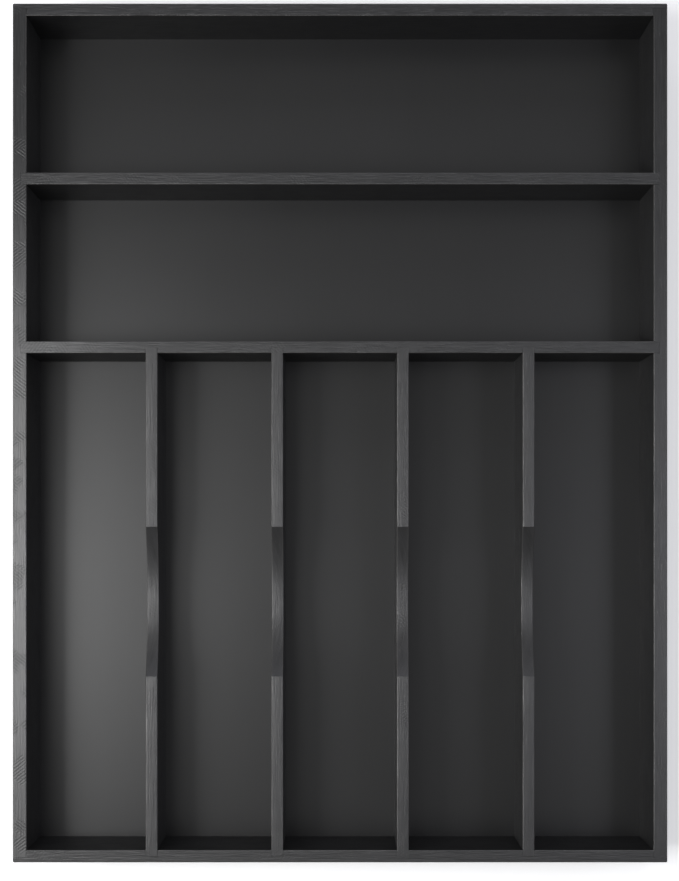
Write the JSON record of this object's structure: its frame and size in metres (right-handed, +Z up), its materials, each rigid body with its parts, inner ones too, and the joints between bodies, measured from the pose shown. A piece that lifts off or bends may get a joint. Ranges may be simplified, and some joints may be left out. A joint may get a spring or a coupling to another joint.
{
  "type": "cutlery tray",
  "caption": "Open black bamboo cutlery tray for a drawer, with wide compartments across its back and long slots between scooped dividers in front.",
  "frame": {"origin": "under the middle of the tray, on the surface that its feet stand on", "axes": "+X across the tray to the right, +Y from the front to the back, +Z up"},
  "size_m": [0.33, 0.433, 0.051],
  "materials": {
    "boards": "bamboo stained black, satin, with fine lengthwise grain",
    "base_panel": "smooth thin panel stained black, satin",
    "brads": "steel brad, its head coated black with the boards",
    "feet": "matt black rubber bumper"
  },
  "bodies": {
    "root": {"left_wall": "boards", "right_wall": "boards", "back_wall": "boards", "front_wall": "boards", "rear_cross_divider": "boards", "middle_cross_divider": "boards", "slot_divider_1": "boards", "slot_divider_2": "boards", "slot_divider_3": "boards", "slot_divider_4": "boards", "base_panel": "base_panel", "corner_pins": "brads", "base_pins": "brads", "front_left_foot": "feet", "front_right_foot": "feet", "back_left_foot": "feet", "back_right_foot": "feet"}
  },
  "joints": []
}
